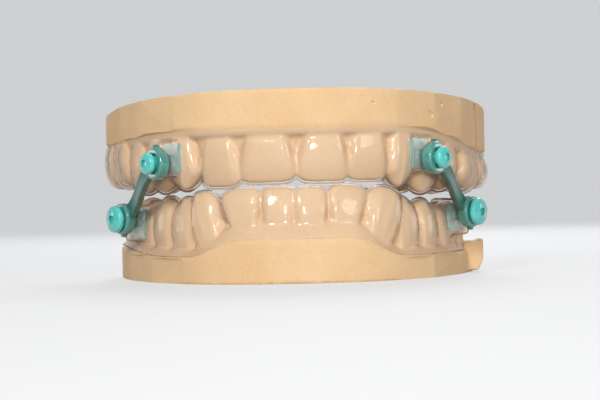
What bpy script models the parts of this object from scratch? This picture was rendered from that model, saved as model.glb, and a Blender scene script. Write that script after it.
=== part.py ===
"""Anti-snoring mouthpiece: two clear splints joined by side connectors, seated on dental models.

The lower model stands on its base at z = 0, the incisors face -Y, and x = 0 is the midline.
The origin is the middle of the whole object's footprint.
"""

import math
from bisect import bisect_right
from collections import namedtuple

import bmesh
import bpy
from mathutils import Matrix, Vector

# Dental models, in metres
MODEL_HEIGHT = 0.0312
UPPER_BASE_DROP = 0.0021
ARCH_HALF_WIDTH = 0.0342
ARCH_LENGTH = 0.060
LOWER_ARCH_STEP_IN = 0.0037
LOWER_ARCH_STEP_BACK = 0.0020
ARCH_SQUARENESS = 2.3
UPPER_BASE_OVERHANG = 0.0012
LOWER_BASE_OVERHANG = 0.0022
BASE_LEDGE = 0.0008
LEDGE_CHAMFER = 0.0003
BASE_INNER_FLARE = 0.0030
HEEL_LENGTH = 0.0055
HEEL_RUN = 0.0012
HEEL_RIDGE_SHARE = 0.35

# Bite: the splints face each other across this height at the front teeth
BITE_HEIGHT = 0.01565
BITE_GAP = 0.0003

# Gum lines, by their distance from the bite at the front teeth and beside the molars
UPPER_GUM_FRONT = 0.00945
UPPER_GUM_SIDE = 0.0068
UPPER_GUM_START = 0.015
UPPER_GUM_END = 0.045
LOWER_GUM_FRONT = 0.00885
LOWER_GUM_SIDE = 0.01145
LOWER_GUM_START = 0.008
LOWER_GUM_END = 0.018

# Gum and crowns
GUM_HEIGHT = 0.0011
GUM_FLARE = 0.0006
PAPILLA_HEIGHT = 0.0012
EMBRASURE = 0.0013
NECK_INSET = 0.0005
SHOULDER_INSET = 0.0003
EDGE_INSET = 0.0011
TONGUE_BULGE = 0.0008
CHEEK_BULGE_SHARE = 0.33
SHOULDER_SHARE = 0.72
TONGUE_BULGE_SHARE = 0.40
FOSSA_SHARE = 0.22
TONGUE_CUSP_SHARE = 0.05
WAIST_DEPTH_SHARE = 0.60
WAIST_TABLE_SHARE = 0.32
NOTCH_AT_EDGE_SHARE = 0.6
NOTCH_AT_NECK_SHARE = 0.4
CUSP_POWER = 1.3
EDGE_POWER = 6
CONTACT_POWER = 0.6

# Splints
SEAT_GAP = 0.0003
SPLINT_WALL = 0.0008
SPLINT_MARGIN = 0.0004
SPLINT_BRIDGING_SHARE = 0.75

# Raised boxes of the splints and the anchors under them
ANCHOR_WIDTH = 0.0044
ANCHOR_HEIGHT = 0.0050
ANCHOR_THICKNESS = 0.0009
ANCHOR_EDGE = 0.0003
BOX_SIDE_WALL = 0.0006
BOX_FRONT_WALL = 0.0011
BOX_DEPTH = 0.0032
BOX_OFFSET = 0.0008
SOCKET_RADIUS = 0.0015
SPIGOT_RADIUS = 0.0008
SPIGOT_LENGTH = 0.0012

# Connectors and buttons
BUTTON_ANGLE = math.radians(37)
UPPER_BUTTON_RISE = 0.00405
LOWER_BUTTON_FALL = 0.00495
UPPER_BUTTON_DEPTH = 0.0075
LOWER_BUTTON_DEPTH = 0.0226
SHANK_RADIUS = 0.0013
UPPER_HEAD_RADIUS = 0.0019
LOWER_HEAD_RADIUS = 0.0023
HEAD_THICKNESS = 0.0009
DIMPLE_RADIUS = 0.0006
DIMPLE_SHARE = 0.25
COLLAR_RADIUS = 0.00265
COLLAR_LENGTH = 0.0019
COLLAR_EDGE = 0.00035
PIP_WIDTH = 0.0008
PIP_HEIGHT = 0.0004
TURNING_PLAY = 0.00035
TILTING_PLAY = 0.00045
STRAP_WIDTH = 0.0024
STRAP_THICKNESS = 0.0016
STRAP_BOW_SHARE = 0.36

Tooth = namedtuple("Tooth", "width depth table relief fall cusps")

# Half rows from the midline, in sixtieths of the arch's length: width along the arch, depth at the
# neck, width of the biting table, depth of the valleys and fall of the cusps below the front teeth's
# bite, and last the cheek-side cusps counted
TOOTH_UNIT = ARCH_LENGTH / 60.0
UPPER_TEETH = (
    Tooth(8.5, 6.8, 1.0, 0.4, 0.0, 0),
    Tooth(6.4, 6.0, 1.0, 0.6, 0.0, 0),
    Tooth(7.6, 7.8, 1.4, 1.4, 0.9, 1),
    Tooth(6.8, 8.6, 4.2, 1.2, 1.0, 1),
    Tooth(6.6, 8.8, 4.4, 1.1, 1.0, 1),
    Tooth(9.8, 10.4, 6.0, 1.2, 0.7, 2),
    Tooth(9.0, 10.2, 5.8, 1.1, 0.5, 2),
)
LOWER_TEETH = (
    Tooth(5.2, 5.8, 0.9, 0.2, 0.0, 0),
    Tooth(5.7, 6.0, 0.9, 0.3, 0.0, 0),
    Tooth(6.6, 7.3, 1.3, 1.1, 0.7, 1),
    Tooth(6.8, 7.5, 3.6, 1.2, 1.5, 1),
    Tooth(7.0, 8.0, 4.5, 1.0, 1.7, 1),
    Tooth(10.8, 9.8, 6.2, 1.1, 1.7, 2),
    Tooth(10.2, 9.6, 6.0, 1.0, 1.6, 2),
)

# Where sections are taken along a tooth, by its number of cusps
TOOTH_SECTIONS = {
    0: (0.0, 0.12, 0.35, 0.65, 0.88),
    1: (0.0, 0.15, 0.35, 0.50, 0.65, 0.85),
    2: (0.0, 0.12, 0.25, 0.50, 0.75, 0.88),
}
SPLINT_SECTIONS = {
    0: (0.0, 0.20, 0.50, 0.80),
    1: (0.0, 0.20, 0.50, 0.80),
    2: (0.0, 0.25, 0.50, 0.75),
}

# Dome of a button's head from the dimple to the rim, as shares of its radius and thickness
HEAD_DOME = ((0.60, 0.06), (0.88, 0.35), (1.00, 0.70))

ROUND_STEPS = 16
STRAP_STEPS = 10
STRAP_SIDES = 8
SEAT_STEPS = 20
SEAT_REACH = 2.5
CUTTER_REACH = 0.004
MERGE_DISTANCE = 0.00001

for old_object in list(bpy.data.objects):
    bpy.data.objects.remove(old_object)

parts = bpy.data.collections.new("anti_snoring_mouthpiece")
cutters = bpy.data.collections.new("cutters")
bpy.context.scene.collection.children.link(parts)
bpy.context.scene.collection.children.link(cutters)


def make_material(name, colour, roughness, transmission=0.0):
    material = bpy.data.materials.new(name)
    material.use_nodes = True
    shader = material.node_tree.nodes["Principled BSDF"]
    shader.inputs["Base Color"].default_value = (*colour, 1.0)
    shader.inputs["Roughness"].default_value = roughness
    shader.inputs["Metallic"].default_value = 0.0
    shader.inputs["Transmission Weight"].default_value = transmission
    return material


plaster = make_material("dental_stone", (0.88, 0.62, 0.36), 0.75)
clear_sheet = make_material("clear_sheet", (0.86, 0.90, 0.88), 0.12, 0.8)
teal_nylon = make_material("teal_nylon", (0.08, 0.42, 0.36), 0.35)


def ease(value, start, end):
    """Smooth rise from 0 at start to 1 at end."""
    share = min(max((value - start) / (end - start), 0.0), 1.0)
    return share * share * (3.0 - 2.0 * share)


class Arch:
    """One row of teeth: its cheek-side line in plan and the heights of its base, gum and crowns.

    A height is measured from the model's own flat base towards the biting edges, and an offset
    from the cheek-side line outwards.
    """

    LINE_POINTS = 400

    def __init__(self, way, half_width, length, teeth, flat, drop, overhang, gum, edge):
        self.way = way
        self.teeth = [
            Tooth(*(size * TOOTH_UNIT for size in tooth[:-1]), tooth.cusps) for tooth in teeth
        ]
        self.flat = flat
        self.overhang = overhang
        self.gum = gum
        self.edge = edge
        self.front = 0.0
        power = 2.0 / ARCH_SQUARENESS
        self.line = []
        self.reach = []
        total = 0.0
        for step in range(self.LINE_POINTS + 1):
            angle = 0.5 * math.pi * step / self.LINE_POINTS
            point = Vector((
                half_width * math.sin(angle) ** power,
                length * (1.0 - max(math.cos(angle), 0.0) ** power),
            ))
            if self.line:
                total += (point - self.line[-1]).length
            self.line.append(point)
            self.reach.append(total)
        self.starts = [0.0]
        for tooth in self.teeth:
            self.starts.append(self.starts[-1] + tooth.width)
        self.teeth_end = self.starts[-1]
        self.end = self.teeth_end + HEEL_LENGTH
        self.slope = drop / self.place(self.end)[0].y

    def place(self, along):
        """Point of the cheek-side line and its outward direction, both in plan.

        The last section lies across the model, because its back is trimmed flat.
        """
        step = min(max(bisect_right(self.reach, along), 1), len(self.line) - 1)
        first = self.line[step - 1]
        second = self.line[step]
        share = (along - self.reach[step - 1]) / (self.reach[step] - self.reach[step - 1])
        point = first.lerp(second, share)
        way = (second - first).normalized()
        outward = Vector((way.y, -way.x))
        if along <= 0.0:
            outward = Vector((0.0, -1.0))
        elif along >= self.end:
            outward = Vector((1.0, 0.0))
        return point + Vector((0.0, self.front)), outward

    def along_at_depth(self, depth):
        """Distance along the line of the point that lies this far behind the front teeth."""
        for point, reach in zip(self.line, self.reach):
            if point.y >= depth:
                return reach
        return self.reach[-1]

    def tooth_at(self, along):
        index = min(bisect_right(self.starts, along) - 1, len(self.teeth) - 1)
        return index, min((along - self.starts[index]) / self.teeth[index].width, 1.0)

    def blended(self, along, field):
        """A tooth size, passing smoothly from one tooth's middle to the next one's."""
        index, share = self.tooth_at(along)
        other = index + (1 if share > 0.5 else -1)
        other = min(max(other, 0), len(self.teeth) - 1)
        own = getattr(self.teeth[index], field)
        return own + (getattr(self.teeth[other], field) - own) * abs(share - 0.5)

    def base_height(self, y):
        return self.flat - self.slope * (y - self.front)

    def gum_line(self, along):
        """Height of the gum line over the flat base."""
        front, side, start, end = self.gum
        distance = front + (side - front) * ease(along, start, end)
        point, _ = self.place(along)
        return self.way * (BITE_HEIGHT - self.base_height(point.y)) - distance

    def crown_factor(self, along):
        """1 over the teeth, falling behind the last molar to the heel's low ridge."""
        fall = ease(along, self.teeth_end, self.teeth_end + HEEL_RUN)
        return 1.0 - (1.0 - HEEL_RIDGE_SHARE) * fall

    def edge_height(self, along):
        """Height of the crowns' cheek-side edges over the flat base."""
        point, _ = self.place(along)
        level = self.edge - self.blended(along, "fall")
        return self.way * (level - self.base_height(point.y))

    def crown(self, along, bridging=1.0, lag=0.0):
        """Offsets and heights of a section, from the cheek-side gum over the edge to the tongue side."""
        index, share = self.tooth_at(along)
        tooth = self.teeth[index]
        depth = self.blended(along, "depth")
        table = self.blended(along, "table")
        relief = self.blended(along, "relief") * bridging
        if tooth.cusps:
            valley = abs(math.cos(math.pi * tooth.cusps * share)) ** CUSP_POWER
        else:
            valley = abs(2.0 * share - 1.0) ** EDGE_POWER
        contact = 1.0 - math.sin(math.pi * min(max(share, 0.0), 1.0)) ** CONTACT_POWER
        notch = EMBRASURE * contact * bridging
        notch_at_edge = NOTCH_AT_EDGE_SHARE * notch
        notch_at_neck = NOTCH_AT_NECK_SHARE * notch
        gum = self.gum_line(along)
        neck = gum + GUM_HEIGHT + PAPILLA_HEIGHT * contact
        edge = self.edge_height(along) - relief * valley
        height = edge - neck
        waist = WAIST_DEPTH_SHARE * depth + WAIST_TABLE_SHARE * table + TONGUE_BULGE
        inset = EDGE_INSET + notch_at_edge
        points = (
            (0.0, gum + SPLINT_MARGIN),
            (-NECK_INSET - notch_at_neck, neck),
            (-notch, neck + CHEEK_BULGE_SHARE * height),
            (-SHOULDER_INSET - notch, neck + SHOULDER_SHARE * height),
            (-inset, edge),
            (-inset - 0.5 * table, edge - FOSSA_SHARE * table),
            (-inset - table, edge - TONGUE_CUSP_SHARE * table),
            (-waist + notch_at_edge, neck + TONGUE_BULGE_SHARE * height),
            (-depth + notch_at_neck, neck),
            (-depth - GUM_FLARE, gum + SPLINT_MARGIN),
        )
        factor = self.crown_factor(along - lag)
        return [(offset, gum + (level - gum) * factor) for offset, level in points]

    def model_section(self, along):
        """The whole closed section of a model: base wall, ledge, gum, crown and inner wall."""
        gum = self.gum_line(along)
        crown = self.crown(along)
        inner = crown[-1][0]
        wall = self.overhang
        outside = [(wall, 0.0), (wall, gum - BASE_LEDGE), (wall - LEDGE_CHAMFER, gum)]
        return outside + crown + [(inner - BASE_INNER_FLARE, 0.0)]

    def world(self, along, offset, height):
        point, outward = self.place(along)
        spot = point + outward * offset
        reference = self.base_height(spot.y if height == 0.0 else point.y)
        return Vector((spot.x, spot.y, reference + self.way * height))

    def seat(self, along, direction, half_width):
        """Point on the seat plane of an anchor that faces direction and clears the teeth behind it."""
        middle, _ = self.place(along)
        across = Vector((-direction.y, direction.x))
        touch = 0.0
        for step in range(-SEAT_STEPS, SEAT_STEPS + 1):
            point, _ = self.place(along + SEAT_REACH * half_width * step / SEAT_STEPS)
            if abs((point - middle).dot(across)) <= half_width:
                touch = max(touch, (point - middle).dot(direction))
        return middle + direction * touch


def offset_line(points, distance):
    """The open line moved outwards by distance, with mitred corners and no peak raised by more."""
    moved = []
    peak = max(y for _, y in points) + distance
    for index, (x, y) in enumerate(points):
        normals = []
        for start, end in ((index - 1, index), (index, index + 1)):
            if start >= 0 and end < len(points):
                way = Vector(points[end]) - Vector(points[start])
                normals.append(Vector((way.y, -way.x)).normalized())
        normal = sum(normals, Vector((0.0, 0.0))).normalized()
        mitre = min(1.0 / max(normal.dot(normals[0]), 0.1), 1.5)
        corner = Vector((x, y)) + normal * distance * mitre
        moved.append((corner.x, min(corner.y, peak)))
    return moved


def make_object(name, mesh, material=None, origin=Vector((0.0, 0.0, 0.0))):
    """Object of a mesh in world coordinates, with its own origin."""
    mesh.transform(Matrix.Translation(-origin))
    made = bpy.data.objects.new(name, mesh)
    made.location = origin
    if material:
        mesh.materials.append(material)
        parts.objects.link(made)
    else:
        cutters.objects.link(made)
        made.hide_render = True
        made.display_type = "WIRE"
    return made


def loft_mesh(name, rings, close_start, close_end):
    """Mesh through rings of equally many points."""
    build = bmesh.new()
    loops = [[build.verts.new(point) for point in ring] for ring in rings]
    for first, second in zip(loops, loops[1:]):
        for index in range(len(first)):
            following = (index + 1) % len(first)
            build.faces.new((first[index], first[following], second[following], second[index]))
    if close_start:
        build.faces.new(loops[0])
    if close_end:
        build.faces.new(loops[-1])
    bmesh.ops.recalc_face_normals(build, faces=build.faces)
    mesh = bpy.data.meshes.new(name)
    build.to_mesh(mesh)
    build.free()
    return mesh


def half_to_whole(made):
    mirror = made.modifiers.new("other_side", "MIRROR")
    mirror.use_axis = (True, False, False)
    mirror.merge_threshold = MERGE_DISTANCE


def as_mesh(made):
    """The object's evaluated mesh in world coordinates, with the object removed."""
    evaluated = made.evaluated_get(bpy.context.evaluated_depsgraph_get())
    mesh = bpy.data.meshes.new_from_object(evaluated)
    mesh.transform(made.matrix_world)
    bpy.data.objects.remove(made)
    return mesh


def cut_or_join(made, other, operation):
    boolean = made.modifiers.new(operation.lower(), "BOOLEAN")
    boolean.operation = operation
    boolean.object = other
    boolean.solver = "EXACT"


def turned_mesh(name, profile, frame):
    """A turned shape: profile of radius and height, in a frame whose Z is the axis."""
    mesh = bpy.data.meshes.new(name)
    edges = [(index, index + 1) for index in range(len(profile) - 1)]
    if profile[0][0] > 0.0:
        edges.append((len(profile) - 1, 0))
    mesh.from_pydata([(radius, 0.0, height) for radius, height in profile], edges, [])
    blank = make_object(name, mesh)
    screw = blank.modifiers.new("turn", "SCREW")
    screw.steps = ROUND_STEPS
    screw.render_steps = ROUND_STEPS
    screw.use_merge_vertices = True
    screw.merge_threshold = MERGE_DISTANCE
    bpy.context.view_layer.update()
    turned = as_mesh(blank)
    turned.transform(frame)
    return turned


def box_mesh(name, size, frame, rounding, segments=2):
    """A box with rounded edges, centred on its frame."""
    build = bmesh.new()
    bmesh.ops.create_cube(build, size=1.0)
    bmesh.ops.scale(build, vec=size, verts=build.verts)
    bmesh.ops.bevel(build, geom=build.edges, offset=rounding, segments=segments, affect="EDGES")
    bmesh.ops.transform(build, matrix=frame, verts=build.verts)
    mesh = bpy.data.meshes.new(name)
    build.to_mesh(mesh)
    build.free()
    return mesh


def shade_round(made, angle=math.radians(35)):
    made.data.shade_smooth()
    made.data.set_sharp_from_angle(angle=angle)


upper_edge = BITE_HEIGHT + 0.5 * BITE_GAP + SPLINT_WALL + SEAT_GAP
lower_edge = BITE_HEIGHT - 0.5 * BITE_GAP - SPLINT_WALL - SEAT_GAP
upper_arch = Arch(
    -1.0, ARCH_HALF_WIDTH, ARCH_LENGTH, UPPER_TEETH, MODEL_HEIGHT, UPPER_BASE_DROP, UPPER_BASE_OVERHANG,
    (UPPER_GUM_FRONT, UPPER_GUM_SIDE, UPPER_GUM_START, UPPER_GUM_END), upper_edge,
)
lower_arch = Arch(
    1.0, ARCH_HALF_WIDTH - LOWER_ARCH_STEP_IN, ARCH_LENGTH - LOWER_ARCH_STEP_BACK, LOWER_TEETH,
    0.0, 0.0, LOWER_BASE_OVERHANG,
    (LOWER_GUM_FRONT, LOWER_GUM_SIDE, LOWER_GUM_START, LOWER_GUM_END), lower_edge,
)
arches = {"upper": upper_arch, "lower": lower_arch}

# The origin lies under the middle of the footprint
rear = max(arch.place(arch.end)[0].y for arch in arches.values())
for each_arch in arches.values():
    each_arch.front = -0.5 * (rear - max(UPPER_BASE_OVERHANG, LOWER_BASE_OVERHANG))


def dental_model(name, arch):
    stations = []
    for index, tooth in enumerate(arch.teeth):
        stations += [arch.starts[index] + share * tooth.width for share in TOOTH_SECTIONS[tooth.cusps]]
    stations += [arch.teeth_end, arch.teeth_end + 0.5 * HEEL_RUN, arch.teeth_end + HEEL_RUN, arch.end]
    rings = [[arch.world(along, *point) for point in arch.model_section(along)] for along in stations]
    model = make_object(name, loft_mesh(name, rings, False, True), plaster)
    half_to_whole(model)
    shade_round(model)
    return model


def sheet_solid(name, arch, grow, extra_end, extra_base):
    """Solid filled to the sheet's inner or outer face, past its edges by the two extras."""
    stations = []
    for index, tooth in enumerate(arch.teeth):
        stations += [arch.starts[index] + share * tooth.width for share in SPLINT_SECTIONS[tooth.cusps]]
    slope_start = arch.teeth_end + grow
    stations += [arch.teeth_end, slope_start, slope_start + 0.5 * HEEL_RUN, slope_start + HEEL_RUN]
    stations.append(arch.teeth_end + HEEL_RUN + 2.0 * SPLINT_WALL + extra_end)
    rings = []
    for along in stations:
        line = offset_line(arch.crown(along, SPLINT_BRIDGING_SHARE, grow), grow)
        if extra_base:
            line.insert(0, (line[0][0], line[0][1] - extra_base))
            line.append((line[-1][0], line[-1][1] - extra_base))
        rings.append([arch.world(along, *point) for point in line])
    solid = make_object(name, loft_mesh(name, rings, False, True))
    half_to_whole(solid)
    bpy.context.view_layer.update()
    return as_mesh(solid)


def button_direction(side):
    """The way a button points: sideways and forwards."""
    return Vector((side * math.cos(BUTTON_ANGLE), -math.sin(BUTTON_ANGLE), 0.0))


def button_frame(level, side):
    """Frame on the anchor's seat plane: Z out along the button, Y up, X along the arch."""
    arch = arches[level]
    depth, height = {
        "upper": (UPPER_BUTTON_DEPTH, BITE_HEIGHT + UPPER_BUTTON_RISE),
        "lower": (LOWER_BUTTON_DEPTH, BITE_HEIGHT - LOWER_BUTTON_FALL),
    }[level]
    direction = button_direction(1.0)
    seat = arch.seat(arch.along_at_depth(depth), direction.xy, 0.5 * ANCHOR_WIDTH)
    origin = Vector((side * seat.x, seat.y, height))
    out = button_direction(side)
    up = Vector((0.0, 0.0, 1.0))
    across = up.cross(out)
    return Matrix.Translation(origin) @ Matrix((across, up, out)).transposed().to_4x4()


# Heights along a button's axis, from the seat plane outwards
plate_top = SEAT_GAP + ANCHOR_THICKNESS
box_top = plate_top + SEAT_GAP + BOX_FRONT_WALL
collar_middle = box_top + TILTING_PLAY + 0.5 * COLLAR_LENGTH
head_base = collar_middle + 0.5 * COLLAR_LENGTH + TILTING_PLAY


def box_frame(level, side):
    """The raised box and its anchor sit a little towards the gum from the button."""
    shift = -arches[level].way * BOX_OFFSET
    return button_frame(level, side) @ Matrix.Translation((0.0, shift, 0.0))


def splint(level):
    arch = arches[level]
    name = level + "_splint"
    outside = sheet_solid(name, arch, SEAT_GAP + SPLINT_WALL, 0.0, 0.0)
    inside = sheet_solid(name + "_inside", arch, SEAT_GAP, CUTTER_REACH, CUTTER_REACH)
    sheet = make_object(name, outside, clear_sheet)
    hollow = make_object(name + "_hollow", inside)
    side_room = 2.0 * (SEAT_GAP + BOX_SIDE_WALL)
    for side, tag in ((-1.0, "left"), (1.0, "right")):
        size = (ANCHOR_WIDTH + side_room, ANCHOR_HEIGHT + side_room, box_top + BOX_DEPTH)
        frame = box_frame(level, side) @ Matrix.Translation((0.0, 0.0, 0.5 * (box_top - BOX_DEPTH)))
        raised = make_object(f"{name}_{tag}_box", box_mesh("box", size, frame, BOX_SIDE_WALL))
        cut_or_join(sheet, raised, "UNION")
    cut_or_join(sheet, hollow, "DIFFERENCE")
    for side, tag in ((-1.0, "left"), (1.0, "right")):
        pocket_top = plate_top + SEAT_GAP
        size = (ANCHOR_WIDTH + 2.0 * SEAT_GAP, ANCHOR_HEIGHT + 2.0 * SEAT_GAP, pocket_top + BOX_DEPTH)
        frame = box_frame(level, side) @ Matrix.Translation((0.0, 0.0, 0.5 * (pocket_top - BOX_DEPTH)))
        pocket = make_object(f"{name}_{tag}_pocket", box_mesh("pocket", size, frame, BOX_SIDE_WALL, 1))
        cut_or_join(sheet, pocket, "DIFFERENCE")
        hole_radius = SOCKET_RADIUS + SEAT_GAP
        hole = [
            (0.0, box_top + CUTTER_REACH),
            (hole_radius, box_top + CUTTER_REACH),
            (hole_radius, plate_top),
            (0.0, plate_top),
        ]
        opening = make_object(f"{name}_{tag}_hole", turned_mesh("hole", hole, button_frame(level, side)))
        cut_or_join(sheet, opening, "DIFFERENCE")
    shade_round(sheet)
    return sheet


def anchor(level, side, tag):
    """Plate with a short socket that reaches up through the sheet's hole."""
    name = f"{level}_{tag}_anchor"
    frame = box_frame(level, side) @ Matrix.Translation((0.0, 0.0, SEAT_GAP + 0.5 * ANCHOR_THICKNESS))
    size = (ANCHOR_WIDTH, ANCHOR_HEIGHT, ANCHOR_THICKNESS)
    origin = button_frame(level, side).translation
    plate = make_object(name, box_mesh(name, size, frame, ANCHOR_EDGE), teal_nylon, origin)
    socket = [
        (0.0, box_top),
        (SOCKET_RADIUS, box_top),
        (SOCKET_RADIUS, SEAT_GAP + 0.5 * ANCHOR_THICKNESS),
        (0.0, SEAT_GAP + 0.5 * ANCHOR_THICKNESS),
    ]
    frame = button_frame(level, side)
    boss = make_object(name + "_boss", turned_mesh("boss", socket, frame))
    cut_or_join(plate, boss, "UNION")
    bore_radius = SPIGOT_RADIUS + SEAT_GAP
    bore_floor = box_top - SPIGOT_LENGTH - SEAT_GAP
    bore = [
        (0.0, box_top + CUTTER_REACH),
        (bore_radius, box_top + CUTTER_REACH),
        (bore_radius, bore_floor),
        (0.0, bore_floor),
    ]
    cut_or_join(plate, make_object(name + "_bore", turned_mesh("bore", bore, frame)), "DIFFERENCE")
    shade_round(plate)
    return plate


def button(level, side, tag):
    """Domed head with a dimple, a shank for the collar to turn on and a spigot in the anchor."""
    name = f"{level}_{tag}_button"
    frame = button_frame(level, side)
    radius = {"upper": UPPER_HEAD_RADIUS, "lower": LOWER_HEAD_RADIUS}[level]
    head_top = head_base + HEAD_THICKNESS
    shoulder = box_top + SEAT_GAP
    spigot_end = box_top - SPIGOT_LENGTH
    dimple = DIMPLE_SHARE * HEAD_THICKNESS
    profile = [(0.0, head_top - dimple), (0.6 * DIMPLE_RADIUS, head_top - 0.8 * dimple)]
    profile.append((DIMPLE_RADIUS, head_top))
    for radius_share, drop_share in HEAD_DOME:
        profile.append((radius_share * radius, head_top - drop_share * HEAD_THICKNESS))
    profile += [
        (radius, head_base),
        (SHANK_RADIUS, head_base),
        (SHANK_RADIUS, shoulder),
        (SPIGOT_RADIUS, shoulder),
        (SPIGOT_RADIUS, spigot_end),
        (0.0, spigot_end),
    ]
    made = make_object(name, turned_mesh(name, profile, frame), teal_nylon, frame.translation)
    shade_round(made)
    return made


def collar_centre(level, side):
    return (button_frame(level, side) @ Matrix.Translation((0.0, 0.0, collar_middle))).translation


def collar_mesh(level, side):
    """Disc with eased rims, bored once the strap has joined it."""
    half = 0.5 * COLLAR_LENGTH
    disc = [
        (0.0, half),
        (COLLAR_RADIUS - COLLAR_EDGE, half),
        (COLLAR_RADIUS, half - COLLAR_EDGE),
        (COLLAR_RADIUS, COLLAR_EDGE - half),
        (COLLAR_RADIUS - COLLAR_EDGE, -half),
        (0.0, -half),
    ]
    frame = button_frame(level, side) @ Matrix.Translation((0.0, 0.0, collar_middle))
    return turned_mesh("collar", disc, frame)


def strap_mesh(side):
    """Flat strap with rounded edges along a soft double bend from collar to collar."""
    upper = collar_centre("upper", side)
    lower = collar_centre("lower", side)
    out = button_direction(side)
    span = lower - upper
    heading = (span - out * span.dot(out)).normalized()
    root = 0.5 * (COLLAR_RADIUS + SHANK_RADIUS + TURNING_PLAY)
    start = upper + heading * root
    end = lower - heading * root
    pull = heading * span.length * STRAP_BOW_SHARE
    corner_share = 0.5 / math.cos(math.pi / STRAP_SIDES)
    rings = []
    for step in range(STRAP_STEPS + 1):
        share = step / STRAP_STEPS
        rest = 1.0 - share
        point = (
            start * rest**3 + (start + pull) * 3.0 * rest**2 * share
            + (end - pull) * 3.0 * rest * share**2 + end * share**3
        )
        way = (
            pull * rest**2 + (end - start - 2.0 * pull) * 2.0 * rest * share + pull * share**2
        ).normalized()
        thick = (out - way * out.dot(way)).normalized() * STRAP_THICKNESS * corner_share
        wide = way.cross(thick).normalized() * STRAP_WIDTH * corner_share
        ring = []
        for corner in range(STRAP_SIDES):
            angle = 2.0 * math.pi * (corner + 0.5) / STRAP_SIDES
            ring.append(point + wide * math.cos(angle) + thick * math.sin(angle))
        rings.append(ring)
    return loft_mesh("strap", rings, True, True)


def connector(side, tag):
    """Strap and both collars in one moulding, each collar with a small pip on its rim."""
    name = tag + "_connector"
    origin = collar_centre("lower", side)
    made = make_object(name, strap_mesh(side), teal_nylon, origin)
    pip_size = (PIP_WIDTH, 2.0 * PIP_HEIGHT, 0.5 * COLLAR_LENGTH)
    for level, pip_way in (("upper", 1.0), ("lower", -1.0)):
        frame = button_frame(level, side) @ Matrix.Translation((0.0, 0.0, collar_middle))
        collar = make_object(f"{name}_{level}_collar", collar_mesh(level, side))
        cut_or_join(made, collar, "UNION")
        pip_frame = frame @ Matrix.Translation((0.0, pip_way * COLLAR_RADIUS, 0.0))
        pip = box_mesh("pip", pip_size, pip_frame, 0.25 * PIP_WIDTH, 1)
        cut_or_join(made, make_object(f"{name}_{level}_pip", pip), "UNION")
        bore_radius = SHANK_RADIUS + TURNING_PLAY
        half = COLLAR_LENGTH
        bore = [(0.0, half), (bore_radius, half), (bore_radius, -half), (0.0, -half)]
        opening = make_object(f"{name}_{level}_bore", turned_mesh("bore", bore, frame))
        cut_or_join(made, opening, "DIFFERENCE")
    shade_round(made)
    return made


upper_group = bpy.data.objects.new("upper_jaw", None)
upper_group.location = collar_centre("upper", -1.0)
parts.objects.link(upper_group)
bpy.context.view_layer.update()
group_place = upper_group.matrix_world.inverted()

upper_pieces = [dental_model("upper_model", upper_arch), splint("upper")]
lower_pieces = [dental_model("lower_model", lower_arch), splint("lower")]
for each_side, side_name in ((-1.0, "left"), (1.0, "right")):
    upper_pieces += [anchor("upper", each_side, side_name), button("upper", each_side, side_name)]
    lower_pieces += [anchor("lower", each_side, side_name), button("lower", each_side, side_name)]
    connector(each_side, side_name)
for piece in upper_pieces:
    piece.parent = upper_group
    piece.matrix_parent_inverse = group_place
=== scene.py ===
from math import cos, pi, radians, sin

import bmesh
import bpy
from mathutils import Matrix, Vector
from mathutils.bvhtree import BVHTree


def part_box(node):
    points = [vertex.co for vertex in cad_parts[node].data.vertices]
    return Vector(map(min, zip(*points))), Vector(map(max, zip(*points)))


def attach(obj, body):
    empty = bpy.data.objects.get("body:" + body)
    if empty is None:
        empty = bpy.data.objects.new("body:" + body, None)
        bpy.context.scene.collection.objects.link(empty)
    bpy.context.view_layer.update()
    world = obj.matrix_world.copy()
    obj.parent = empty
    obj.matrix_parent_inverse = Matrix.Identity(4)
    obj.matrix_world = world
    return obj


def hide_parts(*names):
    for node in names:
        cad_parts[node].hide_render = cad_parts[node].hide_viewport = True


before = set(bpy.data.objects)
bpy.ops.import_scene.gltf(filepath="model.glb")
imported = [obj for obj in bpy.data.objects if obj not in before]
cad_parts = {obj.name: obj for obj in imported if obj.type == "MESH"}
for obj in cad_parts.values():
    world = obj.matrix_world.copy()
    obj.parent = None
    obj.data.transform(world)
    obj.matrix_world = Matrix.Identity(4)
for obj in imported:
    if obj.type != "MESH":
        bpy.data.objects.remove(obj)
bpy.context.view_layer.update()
mm = 0.001
near = 0.01 * mm  # how close two heights count as the same
origin = (0.0, 0.0, 0.0)
white = (1.0, 1.0, 1.0)
sides = (("left", -1.0), ("right", 1.0))


# working habits: what is selected, edited and finished

def selectNothing():
    if bpy.context.object and bpy.context.object.mode != "OBJECT":
        bpy.ops.object.mode_set(mode="OBJECT")
    bpy.ops.object.select_all(action="DESELECT")


def takeUp(*pieces):
    selectNothing()
    for piece in pieces:
        piece.select_set(True)
    bpy.context.view_layer.objects.active = pieces[-1]


def openEdit(piece):
    takeUp(piece)
    bpy.ops.object.mode_set(mode="EDIT")


def closeEdit():
    bpy.ops.object.mode_set(mode="OBJECT")


def pick(kind, test):
    # selects in edit mode the vertices, edges or faces that pass the test
    piece = bpy.context.edit_object
    bpy.context.tool_settings.mesh_select_mode = (kind == "verts", kind == "edges", kind == "faces")
    bpy.ops.mesh.select_all(action="DESELECT")
    work = bmesh.from_edit_mesh(piece.data)
    for each in getattr(work, kind):
        if test(each):
            each.select_set(True)
    work.select_flush_mode()
    bmesh.update_edit_mesh(piece.data)


def pickAll():
    bpy.ops.mesh.select_all(action="SELECT")


# what is selected in edit mode is moved, sized or drawn out, in metres or by factors

def moveBy(x, y, z):
    bpy.ops.transform.translate(value=(x, y, z))


def sizeBy(x, y, z, about=origin):
    bpy.ops.transform.resize(value=(x, y, z), center_override=about)


def drawOut(x, y, z):
    bpy.ops.mesh.extrude_region_move(TRANSFORM_OT_translate={"value": (x, y, z)})


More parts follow.
